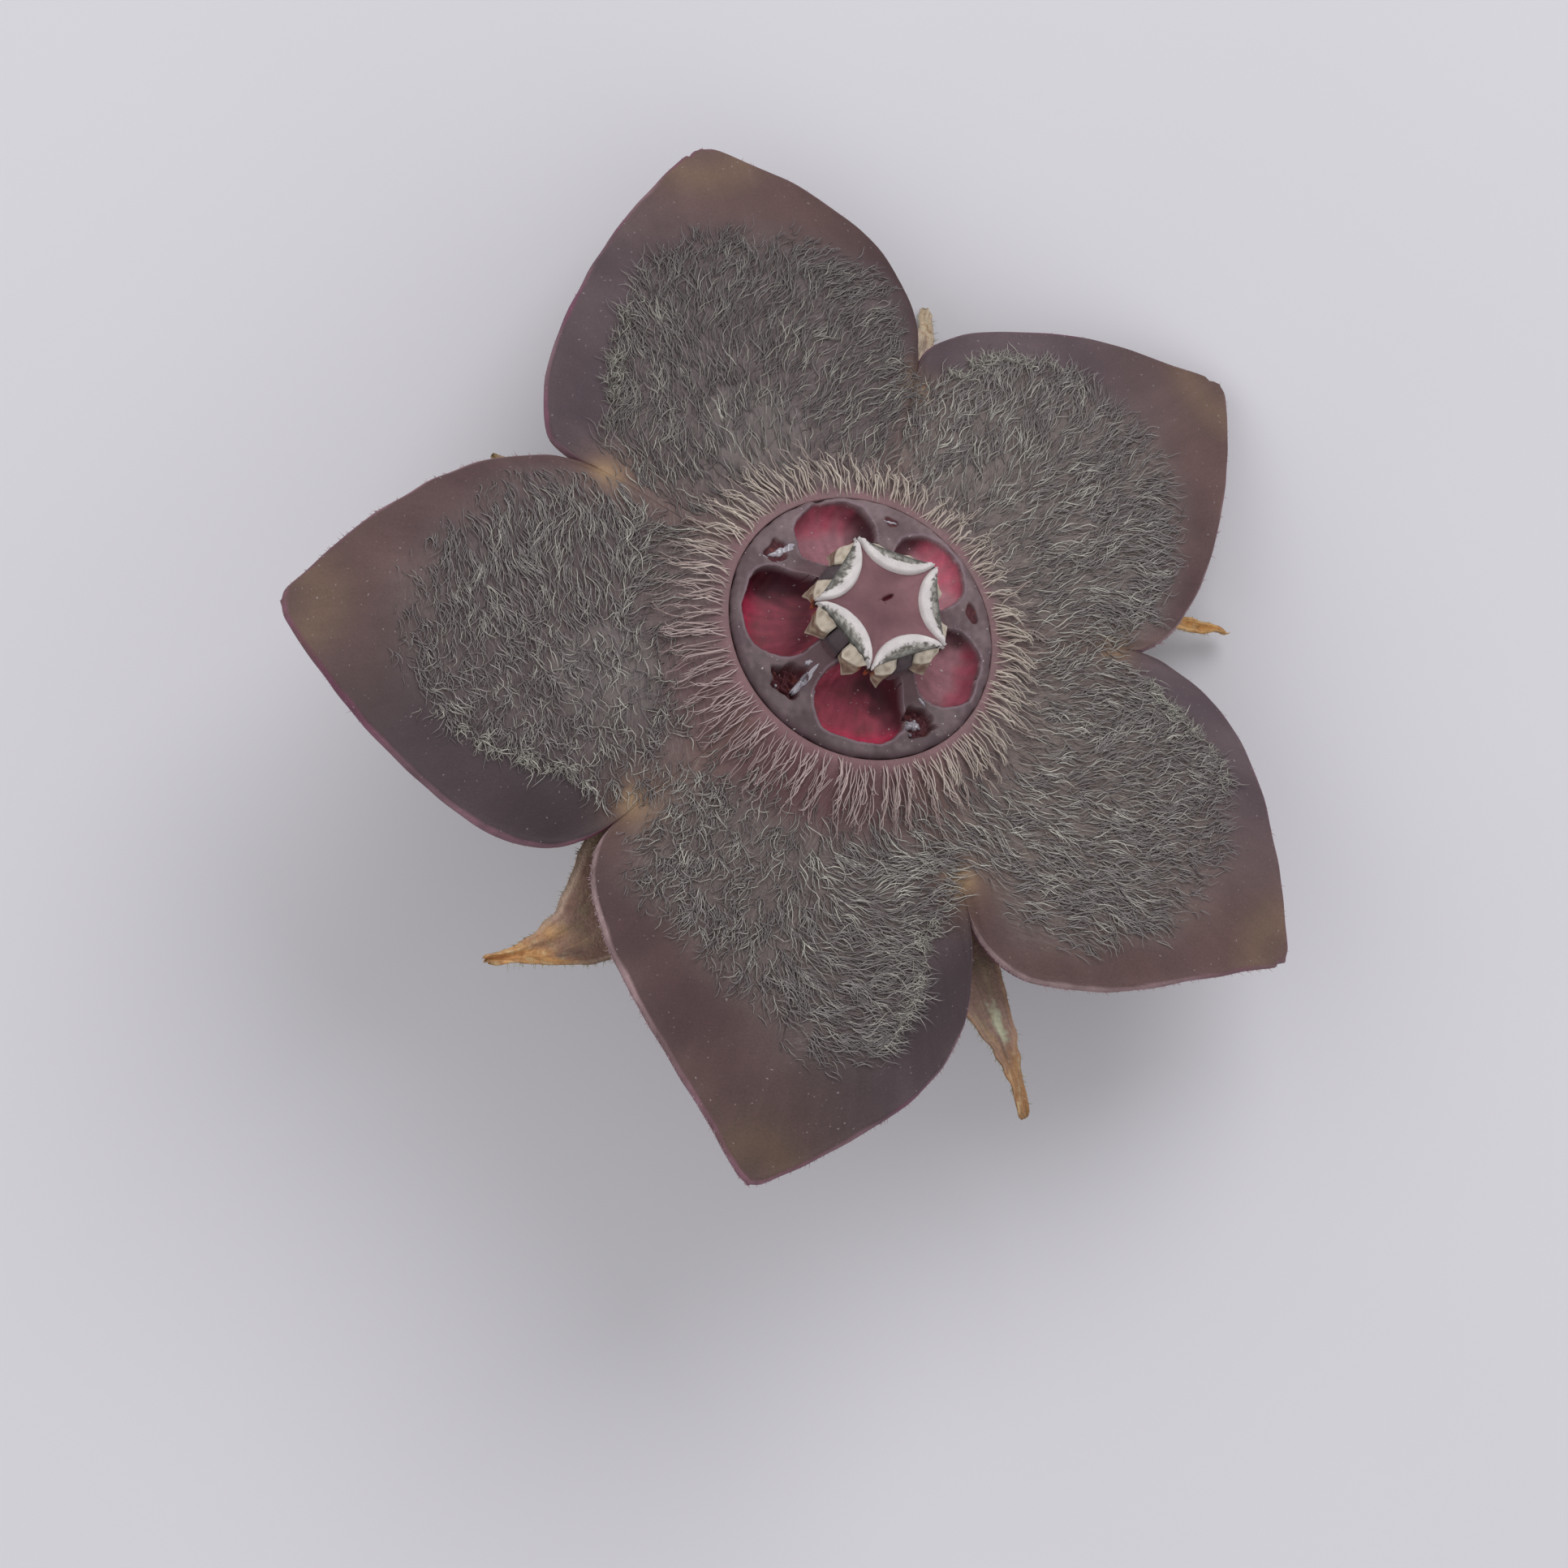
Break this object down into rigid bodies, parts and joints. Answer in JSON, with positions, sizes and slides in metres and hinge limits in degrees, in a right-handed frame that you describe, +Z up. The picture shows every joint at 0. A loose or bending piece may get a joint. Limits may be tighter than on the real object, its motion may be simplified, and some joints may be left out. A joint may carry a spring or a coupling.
{
  "type": "milkweed vine flower",
  "caption": "Picked milkweed vine flower lying face up: dark hairy star-shaped corolla round a fleshy cupped corona and a raised star, with withering sepals and a short bent stalk.",
  "frame": {"origin": "centre of the bounding box's bottom, on the surface that the flower lies on", "axes": "+Z up from the surface; the flower's face leans 29 degrees from +Z towards the direction halfway between +X and +Y"},
  "size_m": [0.029, 0.0302, 0.0146],
  "materials": {
    "corolla": "satin, dark purple-brown with grey woolly hair",
    "corona": "satin, slate mauve with crimson cups",
    "column": "satin",
    "style_head": "satin, dusky rose",
    "anther": "matte, white with cream wings and a slate back",
    "corpusculum": "gloss, black-brown",
    "sepal": "matte, pinkish brown with dried tan tips",
    "pedicel": "matte, olive green with short hairs"
  },
  "bodies": {
    "root": {"pedicel": "pedicel", "sepal_1": "sepal", "sepal_2": "sepal", "sepal_3": "sepal", "sepal_4": "sepal", "sepal_5": "sepal", "corolla": "corolla", "corona": "corona", "column": "column", "style_head": "style_head", "anther_1": "anther", "anther_2": "anther", "anther_3": "anther", "anther_4": "anther", "anther_5": "anther", "corpusculum_1": "corpusculum", "corpusculum_2": "corpusculum", "corpusculum_3": "corpusculum", "corpusculum_4": "corpusculum", "corpusculum_5": "corpusculum"}
  },
  "joints": []
}
